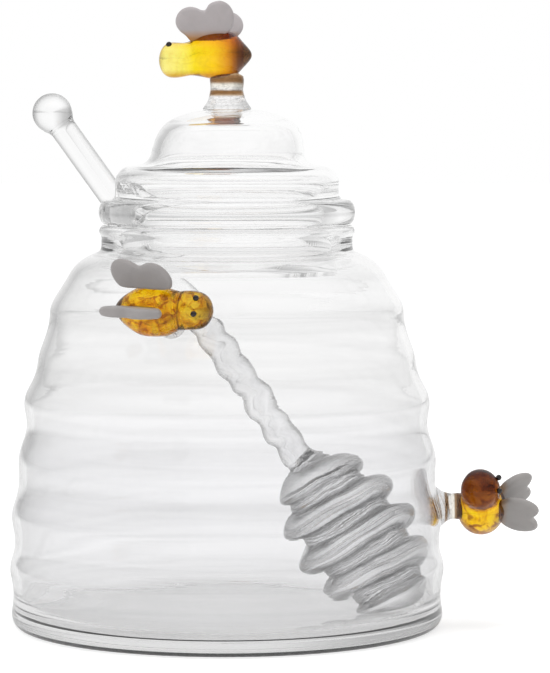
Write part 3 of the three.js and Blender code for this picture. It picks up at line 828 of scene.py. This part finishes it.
# Outlines of the blobs from tail to head: [place along it, radius]
BLOBS = {
    "lid_bee": from_millimetres([
        (-9.4, 0), (-9.2, 0.8), (-8.4, 1.9), (-7.2, 3.2), (-5.9, 4.6), (-4.6, 5.4), (-3, 5.75), (-0.6, 5.8),
        (1.6, 5.5), (3.2, 5), (4.5, 4.5), (5.7, 4.15), (7, 4.1), (8.2, 4.25), (9.4, 4.35), (10.5, 4.25),
        (11.5, 3.8), (12.4, 2.9), (12.9, 1.8), (13.15, 0.7), (13.2, 0),
    ]),
    "front_bee": from_millimetres([
        (-10.2, 0), (-10.05, 0.9), (-9.3, 2), (-8.2, 3.1), (-6.9, 4.1), (-5.4, 4.95), (-3.8, 5.5),
        (-2.2, 5.8), (-0.4, 5.85), (1.4, 5.7), (2.8, 5.4), (4, 4.95), (4.8, 4.65), (5.2, 4.5), (5.8, 4.5),
        (7.4, 4.5), (9, 4.45), (10.6, 4.1), (11.8, 3.25), (12.6, 2.1), (13, 1), (13.1, 0),
    ]),
    "side_bee": from_millimetres([
        (-9.1, 0), (-8.9, 1.2), (-8.2, 2.6), (-7, 3.9), (-5.6, 4.9), (-3.9, 5.5), (-2, 5.8), (0.2, 5.85),
        (2.2, 5.6), (3.8, 5.2), (4.8, 4.9), (5.6, 4.75), (6.6, 4.75), (8, 4.8), (9.6, 4.6), (10.8, 4.1),
        (11.7, 3.2), (12.3, 2.2), (12.6, 1), (12.65, 0),
    ]),
}
BLOB_ROUND_STEPS = 64
BLOB_CURVE_STEPS = 3
BLOB_LUMPS_SHARE = 0.035
BLOB_LUMPS_SCALE = 260
# The head's shift comes in between these two places along the bee
NOD_SPAN = (0.002, 0.008)

# Half of a wing's outline: [place along the bee, height over its axis]
WING_HALF = from_millimetres([
    (3.4, 3.4), (4.7, 5), (6.3, 6.5), (7.1, 8.6), (6.8, 10.8), (5.6, 12.6), (3.9, 13.4), (2.2, 13.15),
    (1, 12.5),
])
WING_SHOULDER = 0.006
WING_CORE = 0.0075
WING_RINGS = 10
WING_CURVE_STEPS = 5
WING_USUAL = {"root": 0.0034, "skew": 0, "half": 0.00088}
WING_FACE_SHARES = [0.25, 0.6]
WING_EDGE_SHARE = 0.16
WING_LUMPS_SCALE = 320

# A post from its foot up: [share of the length, share of the way from the waist's radius to the foot's]
POST_SHARES = [(0, 1), (0.12, 0.72), (0.3, 0.32), (0.55, 0.06), (0.7, 0), (1, 0.08)]
# Its underside: [share of the foot's radius, share of the sink], and its top inside the blob: [share of the
# radius there, height over the length]
POST_UNDER_SHARES = [(0, 1), (0.97, 1), (1.01, 0.5)]
POST_INSIDE = [(0.98, 0.0009), (0.7, 0.0016), (0, 0.0018)]
POST_SINK = {"jar": 0.0006, "lid": 0.0003}
POST_TO_AXIS = 0.006
POST_ROUND_STEPS = 48
POST_CURVE_STEPS = 5
POST_LUMPS_SCALE = 1.3
POST_LUMPS_UP = 300
# On the jar the foot is bent to the wall, fully up to this height and no more at this share of the length
POST_SEAT = 0.0002
POST_BEND_SHARE = 0.75

# Depth of the melted unevenness of wings and posts
MELT_DEPTH = 0.00012

EYE_ROUND_STEPS = 20
EYE_ROWS = 12
EYE_STRETCH = 1.04
EYE_LUMPS = 0.06
EYE_LUMPS_SCALE = 900

# The body that a bee rides on, and its post: length, radii of waist and foot, the brown ring's share of the
# length, and its colour. "lead" is how far the post stands back, and "nod" and "eyes" shift the head and the
# eyes ahead, aside and out. A wing has its front and rear lobe, its notch's height and what differs from
# WING_USUAL: its root's height, its skew to the tail and half its thickness. The wings' colours are those of
# tip and root, greyed partly by painted shade
BEES = {
    "lid_bee": {
        "body": "lid",
        "post": (0.0069, 0.004, 0.0059, 0.54, (0.3, 0.15, 0.055)),
        "lead": 0.0033,
        "nod": (0, 0, -0.0012),
        "eyes": (0.0015, 0, -0.0005),
        "left": {"lobe_shares": (0.84, 1.05), "notch": 0.0117},
        "right": {"lobe_shares": (0.84, 0.93), "notch": 0.0117},
        "wing_colours_and_shade": ((0.47, 0.435, 0.44), (0.5, 0.25, 0.09)),
    },
    "front_bee": {
        "body": "jar",
        "post": (0.0039, 0.0026, 0.0037, 0.24, (0.95, 0.85, 0.6)),
        "lead": 0,
        "nod": (0, 0.0008, 0),
        "eyes": (0.0009, 0, 0),
        "left": {"lobe_shares": (0.88, 0.95), "notch": 0.0121, "root": 0.006, "skew": 0.25},
        "right": {"lobe_shares": (0.91, 0.91), "notch": 0.012, "skew": 0.12, "half": 0.00115},
        "wing_colours_and_shade": ((0.35, 0.33, 0.325), (0.28, 0.22, 0.17)),
    },
    "side_bee": {
        "body": "jar",
        "post": (0.0039, 0.0031, 0.005, 0.26, (0.14, 0.06, 0.02)),
        "lead": 0,
        "nod": (0, 0, -0.0009),
        "eyes": (0.0013, 0, 0.0002),
        "left": {"lobe_shares": (1.08, 1.12), "notch": 0.0124},
        "right": {"lobe_shares": (1.05, 1.09), "notch": 0.0124},
        "wing_colours_and_shade": ((0.38, 0.36, 0.35), (0.4, 0.22, 0.09)),
    },
}

# Colours lengthwise from tail to head, upright from belly to back, by the noise's value, and painted shade
# out to the edge
BLOB_COLOURS = {
    "lid_bee": {
        "lengthwise": [
            (0, (0.03, 0.008, 0.004)), (0.15, (0.07, 0.016, 0.006)), (0.2, (0.3, 0.08, 0.008)),
            (0.27, (0.75, 0.32, 0.01)), (0.4, (1, 0.66, 0.01)), (0.6, (1, 0.8, 0.01)), (0.74, (1, 0.9, 0.14)),
            (0.93, (1, 0.93, 0.3)), (1, (0.6, 0.48, 0.12)),
        ],
        "upright": [
            (0, (0.3, 0.12, 0.03)), (0.1, (0.6, 0.3, 0.06)), (0.2, 1), (0.6, 1), (0.76, (1, 0.66, 0.25)),
            (0.88, (0.95, 0.5, 0.08)), (0.97, (0.8, 0.32, 0.03)),
        ],
        "mottle": [(0.3, (0.88, 0.8, 0.6)), (0.5, 1)],
        "mottle_scale": 330,
        "edge": [(0.5, 1), (0.8, (0.85, 0.65, 0.35)), (0.97, (0.3, 0.13, 0.04))],
        "density": 18,
    },
    "front_bee": {
        "lengthwise": [
            (0, (0.02, 0.012, 0.01)), (0.06, (0.05, 0.02, 0.01)), (0.09, (0.8, 0.5, 0.02)),
            (0.25, (1, 0.7, 0.01)), (0.65, (1, 0.68, 0.015)), (0.69, (0.85, 0.58, 0.03)),
            (0.86, (0.8, 0.55, 0.04)), (1, (0.25, 0.12, 0.03)),
        ],
        "upright": [(0, (0.75, 0.5, 0.4)), (0.2, 1), (1, 1)],
        "mottle": [(0.36, (0.3, 0.1, 0.01)), (0.43, (0.8, 0.48, 0.12)), (0.5, (1, 0.95, 0.9)), (0.6, 1)],
        "mottle_scale": 260,
        "edge": [(0.5, 1), (0.8, (0.85, 0.6, 0.3)), (0.95, (0.25, 0.09, 0.02))],
        "density": 10,
        "collar": 0.685,
    },
    "side_bee": {
        "lengthwise": [
            (0, (0.9, 0.55, 0.01)), (0.3, (1, 0.78, 0.012)), (0.6, (0.95, 0.66, 0.012)),
            (0.68, (0.8, 0.4, 0.01)), (0.71, (0.08, 0.012, 0.002)), (1, (0.07, 0.009, 0.002)),
        ],
        "upright": [(0, (0.5, 0.3, 0.1)), (0.25, 1), (0.75, (1, 0.95, 0.8)), (0.96, (0.25, 0.1, 0.03))],
        "mottle": [(0.38, (0.22, 0.09, 0.02)), (0.45, (0.8, 0.56, 0.25)), (0.52, 1)],
        "mottle_scale": 170,
        "edge": [(0.45, 1), (0.8, (0.7, 0.5, 0.22)), (0.97, (0.14, 0.06, 0.02))],
        "density": 10,
    },
}
# Places that they run between, along a bee and to both sides of its axis
BLOB_SPAN = (-0.0094, 0.0132)
BLOB_HALF = 0.006
BLOB_GLASS = {**GLASS, "Roughness": 0.02, "IOR": 1.32, "Specular IOR Level": 0.25}
BLOB_BUMP = {"strength": 0.25, "depth": 0.0005}
MOTTLE = {"detail": 4, "distortion": 2.2}
AMBER = (0.97, 0.75, 0.1, 1)
# A dark ring between body and head, only on the back's side
COLLAR_HALF = 0.02
COLLAR_COLOUR = (0.12, 0.04, 0.02)
COLLAR_SPAN = (0.001, -0.0005)
STEM_GLASS = {**GLASS, "IOR": 1.33}
# A post's colours: [share of its length, colour], None for its stain. Those of the ring count from the ring
STEM_FOOT = [(0, 0.98)]
STEM_RING = [(-0.16, (0.96, 0.95, 0.94)), (-0.08, None), (0.05, None), (0.13, (0.9, 0.88, 0.84))]
STEM_TOP = [(0.84, (0.92, 0.88, 0.78)), (0.95, None)]
BUBBLE_SCALE = 1400
BUBBLE_TONES = [(0.38, 0.72), (0.5, 1)]
# Painted shade towards a post's edges: [0 facing the eye to 1 at the edge, brightness]
STEM_EDGE_SHADE = [(0.6, 1), (1, 0.85)]
MILK_GLASS = {"Roughness": 0.35, "Specular IOR Level": 0.25}
MILK_SCALE = 220
MILK_TONES = [(0.3, 0.92), (0.7, 1)]
# Heights over the bee's axis between which the amber stain leaves a wing's root
STAIN_SPAN = (0.0045, 0.0085)
BEAD_GLASS = {"Roughness": 0.12}
BEAD_SCALE = 800
BEAD_TONES = [(0.3, (0.006, 0.004, 0.004)), (0.7, (0.02, 0.012, 0.008))]


def blob_glass(name, lengthwise, upright, mottle, mottle_scale, edge, density, collar=None):
    """Coloured glass, its colour running from tail to head and from belly to back, with painted shade towards
    its edges.
    """
    glass = MaterialNodes(name, BLOB_GLASS)
    length = glass.along("X", *BLOB_SPAN)
    glass.tone(length, lengthwise)
    glass.tone(glass.along("Z", -BLOB_HALF, BLOB_HALF), upright)
    clouds = glass.clouds(mottle_scale, **MOTTLE)
    glass.tone(clouds, mottle)
    # Painted shade towards the edges
    glass.tint(glass.facing(edge))
    if collar:
        ring = glass.line(length, [(collar - COLLAR_HALF, 1), (collar, 0), (collar + COLLAR_HALF, 1)])
        over = glass.calculate("MAXIMUM", ring, glass.along("Z", *COLLAR_SPAN))
        glass.tone(over, [(0, COLLAR_COLOUR), (1, 1)])
    glass.bump(clouds, **BLOB_BUMP)
    glass.absorb(AMBER, density)
    return glass.owner


def stem_glass(name, length, ring, stain):
    """Clear glass with a brown ring of melted colour, small bubbles and painted shade towards its edges."""
    glass = MaterialNodes(name, STEM_GLASS)
    stops = STEM_FOOT + [(ring + past, colour) for past, colour in STEM_RING] + STEM_TOP
    glass.tone(glass.along("Z", 0, length), [(share, colour or stain) for share, colour in stops])
    glass.tone(glass.clouds(BUBBLE_SCALE), BUBBLE_TONES)
    glass.tint(glass.facing(STEM_EDGE_SHADE))
    return let_through(glass)


def milky_glass(name, tone, root):
    """Opaque milky glass, greyed partly by painted shade and stained by amber at the root."""
    glass = MaterialNodes(name, MILK_GLASS)
    middle = tuple((a + b) / 2 for a, b in zip(tone, root))
    height = glass.along("Y", *STAIN_SPAN)
    # Tip and root colours, greyed partly by painted shade, with the amber stain at the root
    glass.tone(height, [(0, root), (0.25, middle), (0.55, tone), (1, tone)])
    glass.tone(glass.clouds(MILK_SCALE), MILK_TONES)
    return glass.owner


def black_glass(name):
    glass = MaterialNodes(name, BEAD_GLASS)
    glass.tone(glass.clouds(BEAD_SCALE), BEAD_TONES)
    return glass.owner


def bee_axes(name):
    """Middle of the body, and the ways ahead, left and back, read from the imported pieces."""
    body = middle_of(f"{name}_body")
    ahead = (body - middle_of(f"{name}_tail_tip")).normalized()
    low, high = span_along(f"{name}_body", body, ahead)
    centre = body + ahead * (low + high) / 2
    eyes = (middle_of(f"{name}_eye_left") + middle_of(f"{name}_eye_right")) / 2 - centre
    back = (eyes - ahead * eyes.dot(ahead)).normalized()
    return centre, ahead, back.cross(ahead), back


def make_blob(name, bee, place):
    nod = Vector(bee["nod"])
    seed = Vector((len(name), 0, 0))
    line = smooth_line(BLOBS[name], BLOB_CURVE_STEPS)

    def point(row, angle):
        x, r = row
        spot = Vector((x, r * math.cos(angle), r * math.sin(angle)))
        lump = 1 + BLOB_LUMPS_SHARE * noise.noise(spot * BLOB_LUMPS_SCALE + seed)
        return Vector((x, spot.y * lump, spot.z * lump)) + nod * eased(*NOD_SPAN, x)

    skin = turned(line[1:-1], BLOB_ROUND_STEPS, point, point(line[0], 0), point(line[-1], 0))
    material = blob_glass(f"{name}_glass", **BLOB_COLOURS[name])
    replaced = [f"{name}_{part}" for part in ("body", "head", "tail_tip")]
    piece = new_piece(f"{name}_blob", skin, material, replaced)
    settle(piece, bee["body"], place)


def make_eye(name, side, bee, place, material):
    node = f"{name}_eye_{side}"
    low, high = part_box(node)
    radius = max(high - low) / 2
    ball = bmesh.new()
    bmesh.ops.create_uvsphere(ball, u_segments=EYE_ROUND_STEPS, v_segments=EYE_ROWS, radius=radius)
    ball.verts.index_update()
    vertices = []
    for vertex in ball.verts:
        stretch = EYE_STRETCH + EYE_LUMPS * noise.noise(vertex.co * EYE_LUMPS_SCALE)
        vertices.append(Vector((vertex.co.x * stretch, vertex.co.y, vertex.co.z)))
    faces = [tuple(v.index for v in face.verts) for face in ball.faces]
    ball.free()
    piece = new_piece(f"{node}_bead", (vertices, faces), material, [node])
    turn = place.to_3x3()
    shift = turn @ (Vector(bee["eyes"]) + Vector(bee["nod"]))
    settle(piece, bee["body"], Matrix.Translation(middle_of(node) + shift) @ turn.to_4x4())


def wing_outline(wing):
    """A wing's closed outline: a front and a rear lobe with a soft notch between them."""
    root = wing["root"]
    skew = wing["skew"]
    halves = []
    for way, lobe_share in zip((1, -1), wing["lobe_shares"]):
        half = []
        for x, height in WING_HALF:
            past = max(height - WING_SHOULDER, 0) * lobe_share
            half.append((way * x - skew * past, min(max(height, root), WING_SHOULDER) + past))
        halves.append(half)
    notch_rise = (wing["notch"] - WING_SHOULDER) * sum(wing["lobe_shares"]) / 2
    notch = (-skew * notch_rise, WING_SHOULDER + notch_rise)
    closed = halves[0] + [notch] + halves[1][::-1] + halves[0][:1]
    return smooth_line(closed, WING_CURVE_STEPS)[:-1]


def make_wing(name, side, bee, axes, material):
    centre, ahead = axes[:2]
    wing = {**WING_USUAL, **bee[side]}
    node = f"{name}_wing_{side}"
    offset = middle_of(node) - centre
    shift = sum(span_along(node, centre, ahead)) / 2
    outward = (offset - ahead * offset.dot(ahead)).normalized()
    half = wing["half"]
    layers = [(share, half) for share in WING_FACE_SHARES]
    for k in range(1, 2 * WING_RINGS):
        turn = math.pi * k / (2 * WING_RINGS)
        layers.append((1 - WING_EDGE_SHARE * (1 - math.sin(turn)), half * math.cos(turn)))
    layers += [(share, -half) for share in WING_FACE_SHARES[::-1]]
    core = Vector((0, WING_CORE))
    outline = [Vector(p) for p in wing_outline(wing)]
    rings = [[Vector((*(core + (p - core) * share), height)) for p in outline] for share, height in layers]
    skin = stack(rings, Vector((*core, half)), Vector((*core, -half)))
    seed = Vector((0, 0, len(node)))
    for vertex in skin[0]:
        vertex.z += MELT_DEPTH * noise.noise(vertex * WING_LUMPS_SCALE + seed)
    piece = new_piece(f"{node}_petal", skin, material, [node])
    settle(piece, bee["body"], basis(ahead, outward, ahead.cross(outward), centre + ahead * shift))


def melted(angle, r, z):
    """Unevenness of a post, the same at every radius."""
    spot = Vector((math.cos(angle), math.sin(angle), z * POST_LUMPS_UP)) * POST_LUMPS_SCALE
    return MELT_DEPTH * noise.noise(spot)


def make_post(name, bee, axes):
    centre, ahead, left, back = axes
    length, waist, foot, ring, stain = bee["post"]
    sink = POST_SINK[bee["body"]]
    line = [(waist + out * (foot - waist), up * length) for up, out in POST_SHARES]
    line = smooth_line(line, POST_CURVE_STEPS)
    outline = [(foot * out, -sink * down) for out, down in POST_UNDER_SHARES] + line
    outline += [(line[-1][0] * share, length + over) for share, over in POST_INSIDE]
    skin = lathe(outline, melted, POST_ROUND_STEPS)
    place = basis(ahead, left, back, centre - ahead * bee["lead"] - back * (length + POST_TO_AXIS))
    if bee["body"] == "jar":
        for vertex in skin[0]:
            spot = place @ vertex
            out = Vector((spot.x, spot.y, 0))
            depth = (out.length - wall_radius(spot.z)) * back.dot(out.normalized())
            sunk = 1 - eased(POST_SEAT, length * POST_BEND_SHARE, vertex.z)
            vertex.z += (max(vertex.z, -POST_SEAT) - depth) * sunk
    material = stem_glass(f"{name.removesuffix('_bee')}_post_glass", length, ring, stain)
    piece = new_piece(f"{name}_stem", skin, material, [f"{name}_post"])
    settle(piece, bee["body"], place)


def make_bees():
    bead_glass = black_glass("bead_glass")
    for name, bee in BEES.items():
        axes = bee_axes(name)
        place = basis(*axes[1:], axes[0])
        wing_glass = milky_glass(f"{name.removesuffix('_bee')}_wing_glass", *bee["wing_colours_and_shade"])
        make_blob(name, bee, place)
        for side in ("left", "right"):
            make_eye(name, side, bee, place, bead_glass)
            make_wing(name, side, bee, axes, wing_glass)
        make_post(name, bee, axes)


# Studio

WORLD_LIGHT = 0.8
# Studio seen in glass: [sideways part of a ray's direction, from left to right, brightness]
STUDIO_SIDES = [
    (-1, 0.6), (-0.7, 0.56), (-0.45, 0.6), (-0.28, 0.78), (-0.17, 0.92), (-0.07, 1), (0.45, 1), (0.7, 0.85),
    (1, 0.7),
]
# The same for its part away from the camera, and how it turns white to the top
STUDIO_DEPTH = [(-1, 0.72), (-0.2, 0.78), (0.3, 0.88), (0.7, 1), (1, 1)]
STUDIO_TOP = [(0.55, 0), (0.8, 1)]

# Floor: its paint, and its glow to the camera
FLOOR_HALF = 6
FLOOR_GAP = 0.0002
FLOOR_PAINT = 0.95
FLOOR_GLOW = 0.3
# Floor seen through glass, with painted shade: its darker paint, [place sideways, brightness] and [place away
# from the camera, glow]
FLOOR_SEEN_SHADED = 0.9
FLOOR_SIDE_SHADE = [(-1.5, 0.55), (-0.5, 0.7), (-0.25, 1), (0.3, 1), (0.8, 0.8), (1.5, 0.6)]
FLOOR_SEEN_GLOW = [(0, 0.08), (1.6, 0.25)]

# Soft lamps: name, place, side and watts
LAMPS = [("key_lamp", (-0.7, -0.6, 0.9), 0.5, 3), ("top_lamp", (0.2, 0.1, 1.1), 0.6, 2)]
LAMP_TARGET = Vector((0, 0, 0.07))


def make_camera():
    data = bpy.data.cameras.new("camera")
    data.sensor_width = SENSOR_MM
    data.lens = SENSOR_MM * FOCAL_PIXELS / PHOTO_HEIGHT
    data.clip_start = CLIP_NEAR
    data.clip_end = CLIP_FAR
    camera = new_object("camera", data)
    scale = EYE_DISTANCE / FOCAL_PIXELS
    across = (PHOTO_WIDTH / 2 - AXIS_COLUMN) * scale
    down = (PHOTO_HEIGHT / 2 - HORIZON_ROW) * scale
    camera.location = (0, -EYE_DISTANCE, EYE_HEIGHT)
    camera.rotation_euler = Vector((across, EYE_DISTANCE, -down)).to_track_quat("-Z", "Y").to_euler()
    scene.camera = camera


def make_world():
    """White to the camera, softly shaded at the sides to glass, and even elsewhere."""
    scene.world = bpy.data.worlds.new("studio")
    nodes = Nodes(scene.world)
    way = nodes.axes("Generated")
    shade = nodes.multiply(nodes.line(way["X"], STUDIO_SIDES), nodes.line(way["Y"], STUDIO_DEPTH))
    studio = nodes.mix(nodes.line(way["Z"], STUDIO_TOP), shade, WHITE)
    light = nodes.mix(nodes.seen_in_glass(), grey(WORLD_LIGHT), studio)
    background = nodes.tree.nodes["Background"]
    nodes.link(nodes.mix(nodes.ray("Is Camera Ray"), light, WHITE), background.inputs["Color"])
    background.inputs["Strength"].default_value = 1


def make_floor_paint():
    """Pale paint with a soft glow. Where it is seen through glass it has darker paint, painted shade to the
    sides and a glow that grows away from the camera.
    """
    paint = MaterialNodes("floor_paint", {"Roughness": 1, "Specular IOR Level": 0})
    own = paint.axes()
    glassy = paint.seen_in_glass()
    # Seen through glass, the paint is darker, with painted shade to the sides
    sides = paint.line(own["X"], FLOOR_SIDE_SHADE)
    paint.tint(paint.mix(glassy, grey(FLOOR_PAINT), paint.multiply(sides, grey(FLOOR_SEEN_SHADED))))
    near_glow = paint.calculate("MULTIPLY", paint.ray("Is Camera Ray"), FLOOR_GLOW)
    # Glow to the camera, and through glass a glow that grows away from the camera, shaded to the sides
    far_glow = paint.multiply(paint.line(own["Y"], FLOOR_SEEN_GLOW), sides)
    glow = paint.add("ShaderNodeEmission")
    paint.link(paint.mix(glassy, near_glow, far_glow), glow.inputs["Color"])
    both = paint.add("ShaderNodeAddShader")
    paint.link(paint.shader.outputs[0], both.inputs[0])
    paint.link(glow.outputs[0], both.inputs[1])
    paint.link(both.outputs[0], paint.surface)
    return paint.owner


def make_floor():
    mesh = bpy.data.meshes.new("floor")
    square = [(x * FLOOR_HALF, y * FLOOR_HALF, 0) for x, y in ((-1, -1), (1, -1), (1, 1), (-1, 1))]
    mesh.from_pydata(square, [], [(0, 1, 2, 3)])
    mesh.materials.append(make_floor_paint())
    floor = new_object("floor", mesh)
    floor.location.z = -FLOOR_GAP


def make_lamp(name, place, side, watts):
    data = bpy.data.lights.new(name, "AREA")
    data.shape = "SQUARE"
    data.size = side
    data.energy = watts
    lamp = new_object(name, data)
    lamp.visible_camera = False
    lamp.visible_glossy = False
    lamp.visible_transmission = False
    lamp.location = place
    lamp.rotation_euler = (LAMP_TARGET - Vector(place)).to_track_quat("-Z", "Y").to_euler()


scene.view_settings.view_transform = "Standard"
make_camera()
make_world()
make_floor()
for lamp_values in LAMPS:
    make_lamp(*lamp_values)
make_jar()
make_dipper()
make_lid()
make_bees()
